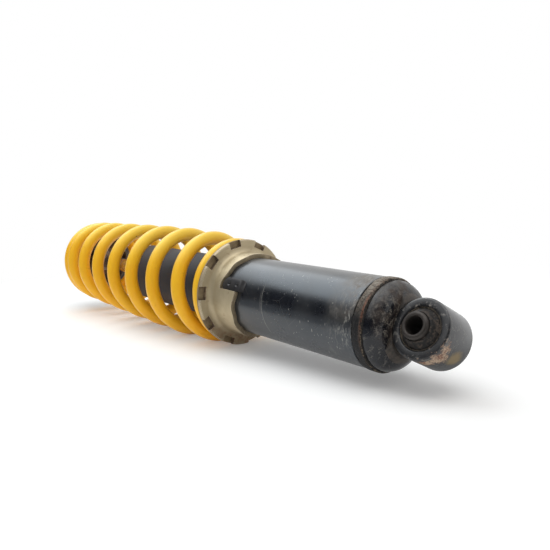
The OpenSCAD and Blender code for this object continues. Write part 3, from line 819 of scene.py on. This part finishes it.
weldGrime = plain("weldGrime", (34, 32, 31), (86, 76, 66), 0.6, size=3.5, coat=0.1, depth=0.3)
newPiece("outer_body_shell", bodyShell(), glossBlack(),
         "damper_body", ["outer_body"])
newPiece("seam_band_rusted", seamBand(), seamRust(),
         "damper_body", ["seam_band"])
newPiece("end_cap_dome", capDome(), domeBlack(),
         "damper_body", ["end_cap"], 40)
newPiece("eye_weld_filler", eyeWeld(), weldGrime,
         "damper_body", ["eye_weld"], 50)
for side, turn in (("front", lugPlate["turn"]), ("rear", lugPlate["turn"] + 180)):
    lugSteel = plain("lugSteel_" + side, (30, 31, 35), (54, 52, 52), 0.32, size=4, coat=0.55)
    newPiece("lug_" + side, lugShape(turn), lugSteel,
             "damper_body", ["cam_lug_" + side])
print("body done")

# Collar and spring seat

camRing = {
    "hub": 31.2, "camDeepest": 158.1, "camHighest": 139.5,
    "extraSeat": 0.7, "lugTurn": 24.1,
    "seats": 12,  # round the whole ring
    # The cam-edge value below sets how strongly painted shade lies on the cam's edge
    "crestRound": 3.0, "edge": 0.5, "notchDepth": 5.6, "camShade": 0.45,
    "camBefore": 8.3,  # the cam lies at least this far before the seat ring
    "camInside": 6,  # and this far inside the flange's rim
}


def collarShape():
    c = camRing
    bm = weldedCopy("preload_collar")
    wall = bm.faces.layers.float.new("wall")
    rim, camEnd = girth("preload_collar"), reach("spring_seat_ring", 0) - c["camBefore"]
    for face in bm.faces:  # notch walls, and the cam's edge, marked for painted shade
        middle = face.calc_center_median() / mm
        out = math.hypot(middle.y, middle.z)
        outward = Vector((0, middle.y, middle.z)).normalized()
        onSide = abs(face.normal.x) < 0.3 and out > rim - c["notchDepth"]
        if onSide and (out < rim - 0.5 or face.normal.dot(outward) < 0.9):
            face[wall] = 1.0
        elif face.normal.x < -0.5 and middle.x < camEnd and out < rim - c["camInside"]:
            face[wall] = c["camShade"]
    for v in bm.verts:  # the seats along the cam are a little deeper than the plain ramp's
        if outOf(v) < c["hub"] + 0.1 and v.co.x / mm < c["camDeepest"] + 1:
            turn = angleOf(v) - math.radians(c["lugTurn"])
            v.co.x += c["extraSeat"] * (1 + math.cos(c["seats"] * turn)) / 2 * mm
    crests = [e for e in bm.edges if abs(e.verts[0].co.x - e.verts[1].co.x) < 0.5 * mm
              and max(v.co.x for v in e.verts) < (c["camHighest"] + 2) * mm
              and e.calc_face_angle(0) > 1 and e.calc_length() > 1.5 * mm]
    bmesh.ops.bevel(bm, geom=crests, offset=c["crestRound"] * mm, offset_type="OFFSET",
                    affect="EDGES", segments=5, profile=0.5, material=-1,
                    clamp_overlap=True, loop_slide=True)
    return soften(bm, c["edge"], 28, 2)


seatRing = plain("seatRing", (150, 132, 102), (112, 92, 66), 0.55, metal=0.3, size=5)
newPiece("collar", collarShape(), agedPlating(),
         "collar", ["preload_collar"], 30)
newPiece("seat_ring", soften(weldedCopy("spring_seat_ring"), 0.2), seatRing,
         "seat_ring", ["spring_seat_ring"])
print("collar done")

# Spring

coil = {
    "wire": 5.5, "belly": 40.0, "near": 34.0, "far": 36.0, "turns": 8.7, "start": -0.35,
    "closedPitch": 11.3, "ground": 3.85, "gap": 0.05, "nearFace": 172.1, "farFace": 436.5,
    "stations": 560, "sides": 32, "layPitch": 100.0,
}


def openness(t):  # share of the open pitch at a turn; the end turns lie closed
    lastOpen = coil["turns"] - 2.1
    return (1 - 0.024 * (t - 1)) * ease(t, 0.05, 1.05) * (1 - ease(t, lastOpen, lastOpen + 0.6))


def coilRadius(t):  # a quick flare from the collar, then a slow taper
    c = coil
    if t < 2:
        return c["belly"] - (c["belly"] - c["near"]) * (1 - max(0.0, t) / 2) ** 2
    share = max(0.0, t - 3) / (c["turns"] + c["start"] - 3)
    return c["belly"] - (c["belly"] - c["far"]) * share ** 1.3


def coilShape():
    c = coil
    stations, turns = c["stations"], c["turns"]
    step = turns / stations
    shares = [0.0]
    for k in range(stations):
        shares.append(shares[-1] + openness(c["start"] + (k + 0.5) * step) * step)
    nearest, farthest = c["nearFace"] + c["gap"], c["farFace"] - c["gap"]
    first = nearest + c["wire"] - c["ground"]
    last = farthest - c["wire"] + c["ground"]
    openLength = last - first - c["closedPitch"] * turns
    bm = bmesh.new()
    lay = Matrix.Translation((0, c["belly"] * mm, 0))
    lay = Matrix.Rotation(math.tau * c["start"], 4, "X") @ lay
    ring = bmesh.ops.create_circle(bm, cap_ends=False, segments=c["sides"],
                                   radius=c["wire"] * mm, matrix=lay)["verts"]
    ringEdges = list(bm.edges)
    # A wide plain coil first; each point is then laid at its own turn
    bmesh.ops.spin(bm, geom=ring + ringEdges, cent=(0, 0, 0), axis=(1, 0, 0),
                   dvec=(c["layPitch"] * step * mm, 0, 0), angle=math.tau * turns,
                   steps=stations, use_merge=False, use_duplicate=False)
    bmesh.ops.holes_fill(bm, edges=[e for e in bm.edges if e.is_boundary], sides=c["sides"])
    for v in bm.verts:
        x, out = v.co.x / mm, outOf(v)
        part = (angleOf(v) / math.tau - c["start"]) % 1.0
        gone = round(x / c["layPitch"] - part) + part
        k = min(stations, max(0, round(gone / step)))
        middle = first + c["closedPitch"] * k * step + openLength * shares[k] / shares[-1]
        rise = x - k * step * c["layPitch"]
        newX = min(farthest, max(nearest, middle + rise))  # the end turns are ground flat
        newOut = coilRadius(c["start"] + k * step) + out - c["belly"]
        v.co = Vector((newX * mm, v.co.y * newOut / out, v.co.z * newOut / out))
    bmesh.ops.recalc_face_normals(bm, faces=bm.faces)
    return bm


spring = newPiece("spring_coil", coilShape(), springYellow(),
                  "seat_ring", ["spring"], 50)
openSpan = coil["farFace"] - coil["nearFace"]
travel = max(next(j for j in frame["joints"] if j["name"] == "damper_stroke")["range_m"]) / mm
(openSpan - travel) / openSpan
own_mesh(spring)
print("spring done")

# Damper and upper end

capBlack = plain("capPaint", (40, 40, 44), (60, 58, 58), 0.42, coat=0.3)
tubePaint = plain("tubePaint", (40, 43, 52), (54, 56, 64), 0.6, size=12)
bumpFoam = plain("bumpFoam", (30, 29, 29), (52, 48, 46), 0.75, size=3, depth=0.4)
seatPaint = plain("upperSeat", (58, 58, 62), (84, 78, 72), 0.45, metal=0.2, size=8, coat=0.3)
keeperSteel = plain("keeperSteel", (112, 112, 116), (84, 78, 72), 0.38, metal=0.7, size=5)
nutSteel = plain("nutSteel", (140, 140, 145), (104, 96, 88), 0.35, metal=0.8, size=4)
chrome = plain("chromeRod", (198, 200, 204), (176, 178, 182), 0.08, metal=1.0, size=14, depth=0.01)

turnedPieces = {  # CAD node, finish, body, slot; bevel in mm, from what angle, in how many steps
    "damper_tube_shell": ("damper_tube", tubePaint, "damper_body", "black_paint", (0.3, 30, 2)),
    "dust_cap_turned": ("dust_cap", capBlack, "damper_body", "black_paint", (0.25, 30, 2)),
    "bump_stop_foam": ("bump_stop", bumpFoam, "damper_body", "seal_rubber", (1.2, 12, 3)),
    "upper_seat_turned": ("upper_spring_seat", seatPaint, "upper_seat", "black_paint", (0.4, 30, 2)),
    "keeper_left": ("seat_keeper_left", keeperSteel, "upper_seat", "worn_steel", (0.4, 30, 2)),
    "keeper_right": ("seat_keeper_right", keeperSteel, "upper_seat", "worn_steel", (0.4, 30, 2)),
    "rod_lock_nut": ("lock_nut", nutSteel, "rod", "worn_steel", (0.5, 30, 2)),
    "piston_rod_chromed": ("piston_rod", chrome, "rod", "chrome", (0.3, 30, 2)),
}
for name, (node, material, body, slot, bevel) in turnedPieces.items():
    smooth = 60 if material == bumpFoam else 35  # the foam has no sharp edge
    newPiece(name, soften(weldedCopy(node), *bevel), material, body, [node], smooth)

# The inner parts keep their CAD shape
inner = {  # tone, other tone, roughness, metal, CAD nodes
    "sealBlack": ((24, 24, 25), (40, 38, 37), 0.6, 0.0,
                  ["end_cap_o_ring", "guide_o_ring", "oil_seal", "dust_wiper",
                   "floating_piston_o_ring", "top_out_bumper"]),
    "guideAlloy": ((170, 171, 174), (148, 147, 146), 0.35, 0.9, ["rod_guide", "floating_piston"]),
    "bushBronze": ((178, 142, 82), (150, 112, 64), 0.35, 0.9, ["guide_bushing"]),
    "springSteel": ((96, 97, 101), (74, 72, 70), 0.35, 0.8,
                    ["retaining_ring", "bump_washer", "piston_nut"]),
    "sinteredSteel": ((136, 136, 139), (110, 108, 106), 0.5, 0.8, ["piston"]),
    "shimSteel": ((186, 187, 190), (160, 160, 162), 0.22, 1.0,
                  ["compression_shims", "rebound_shims"]),
    "bandPlastic": ((62, 58, 50), (44, 41, 37), 0.45, 0.0, ["piston_band"]),
}
for name, (tone, other, rough, metal, members) in inner.items():
    material = plain(name, tone, other, rough, metal)
    for node in members:
        nodes[node].data.materials.clear()
        nodes[node].data.materials.append(material)
print("inner parts done")

# Floor, light and camera

studio = {
    "restX": 169.0, "restZ": -40.95, "slope": -0.05, "floorSize": 8.0,
    "fadeFrom": 200, "fadeStart": 450, "fadeWidth": 350,  # where the floor turns plain white, in mm
    "floorTone": (0.93, 0.925, 0.915, 1), "floorLift": 0.15,
    "roomLight": 0.52, "boxPower": 7.7, "topPower": 8.6, "white": (1, 1, 1, 1),
}


def litFloor():
    s = studio
    finish = Finish("paleFloor")
    x, y = finish.axes("XY")
    seen = finish.whiteRays()
    far = (x - s["fadeFrom"]).hypot(y).above(s["fadeStart"], s["fadeWidth"])
    matt = finish.add("ShaderNodeBsdfDiffuse", {}, {"Color": s["floorTone"]}).outputs[0]
    glow, white = [
        finish.add("ShaderNodeEmission", {}, {"Color": s["white"], "Strength": power}).outputs[0]
        for power in (s["floorLift"], 1.0)]
    lifted = finish.add("ShaderNodeAddShader", {}, {0: matt, 1: glow}).outputs[0]
    near = finish.add("ShaderNodeMixShader", {}, {0: seen, 1: matt, 2: lifted}).outputs[0]
    mixed = finish.add("ShaderNodeMixShader", {}, {0: far * seen, 1: near, 2: white}).outputs[0]
    finish.tree.links.new(mixed, finish.output.inputs["Surface"])
    finish.tree.nodes.remove(finish.shader)
    return finish.material


def flatCard(name, size, place, facing, material):
    bm = bmesh.new()
    aim = Vector(facing).to_track_quat("Z", "Y").to_matrix().to_4x4()
    matrix = Matrix.Translation(place) @ aim @ Matrix.Diagonal((size[0], size[1], 1, 1))
    bmesh.ops.create_grid(bm, x_segments=1, y_segments=1, size=0.5, matrix=matrix)
    mesh = bpy.data.meshes.new(name)
    bm.to_mesh(mesh)
    bm.free()
    mesh.materials.append(material)
    card = bpy.data.objects.new(name, mesh)
    scene.collection.objects.link(card)
    return card


floorNormal = Vector((-studio["slope"], 0, 1)).normalized()
floorPlace = Vector((studio["restX"] * mm, 0, studio["restZ"] * mm))
flatCard("floor", (studio["floorSize"], studio["floorSize"]), floorPlace, floorNormal, litFloor())

# The dark cards keep a black band along the painted body
darkCard = Finish("darkCard", **{"Base Color": (0.01, 0.01, 0.012, 1), "Roughness": 0.9})
greyCard = Finish("greyCard", **{"Base Color": (0.3, 0.31, 0.33, 1), "Roughness": 0.9})
cards = {  # size, place, facing, finish
    "cardFront": ((1.9, 0.62), (0.75, 0.85, 0.265), (-0.75, -0.85, 0.0), darkCard),
    "cardSide": ((2.2, 1.3), (-0.75, 0.75, 0.62), (0.75, -0.75, 0.0), darkCard),
    "cardTable": ((0.9, 2.6), (-0.1, 0.565, -0.0252), (0.05, 0.0, 1.0), greyCard),
}
for name, (size, place, facing, look) in cards.items():
    card = flatCard(name, size, place, facing, look.material)
    card.visible_camera = False
    card.visible_diffuse = False
    card.visible_shadow = False
    card.visible_transmission = False


def areaLamp(name, power, size, place, target, tone=(1, 1, 1)):
    data = bpy.data.lights.new(name, "AREA")
    data.shape = "RECTANGLE"
    data.size, data.size_y = size
    data.energy = power
    data.color = tone
    lamp = bpy.data.objects.new(name, data)
    lamp.location = place
    lamp.rotation_mode = "QUATERNION"
    lamp.rotation_quaternion = (Vector(place) - Vector(target)).to_track_quat("Z", "Y")
    scene.collection.objects.link(lamp)


areaLamp("softBox", studio["boxPower"], (1.35, 0.82), (0.98, 0.1, 1.08), (0.1, 0, 0),
         (0.9, 0.96, 1.0))
areaLamp("topBox", studio["topPower"], (1.4, 1.4), (0.05, 0.1, 1.5), (0.15, 0, 0))

scene.world = bpy.data.worlds.new("room")
scene.world.use_nodes = True
room = Board(scene.world.node_tree)
grey, white = [
    room.add("ShaderNodeBackground", {}, {"Color": studio["white"], "Strength": power}).outputs[0]
    for power in (studio["roomLight"], 1.0)]
picked = room.add("ShaderNodeMixShader", {}, {0: room.whiteRays(), 1: grey, 2: white}).outputs[0]
room.add("ShaderNodeOutputWorld", {}, {"Surface": picked})

view = {
    "place": (-0.16868, 0.25670, 0.07782),
    "right": (-0.64988, -0.76004, 0.0),
    "up": (0.11435, -0.09777, 0.98862),
    "forward": (0.75139, -0.64248, -0.15045),
    "lens": 36.458,
    "sensor": 36.0,
}
cameraData = bpy.data.cameras.new("camera")
cameraData.lens = view["lens"]
cameraData.sensor_width = view["sensor"]
cameraData.clip_start, cameraData.clip_end = 0.01, 50.0
camera = bpy.data.objects.new("camera", cameraData)
scene.collection.objects.link(camera)
axes = Matrix((view["right"], view["up"], -Vector(view["forward"]))).transposed()
camera.matrix_world = Matrix.Translation(view["place"]) @ axes.to_4x4()
scene.camera = camera
print("studio done")
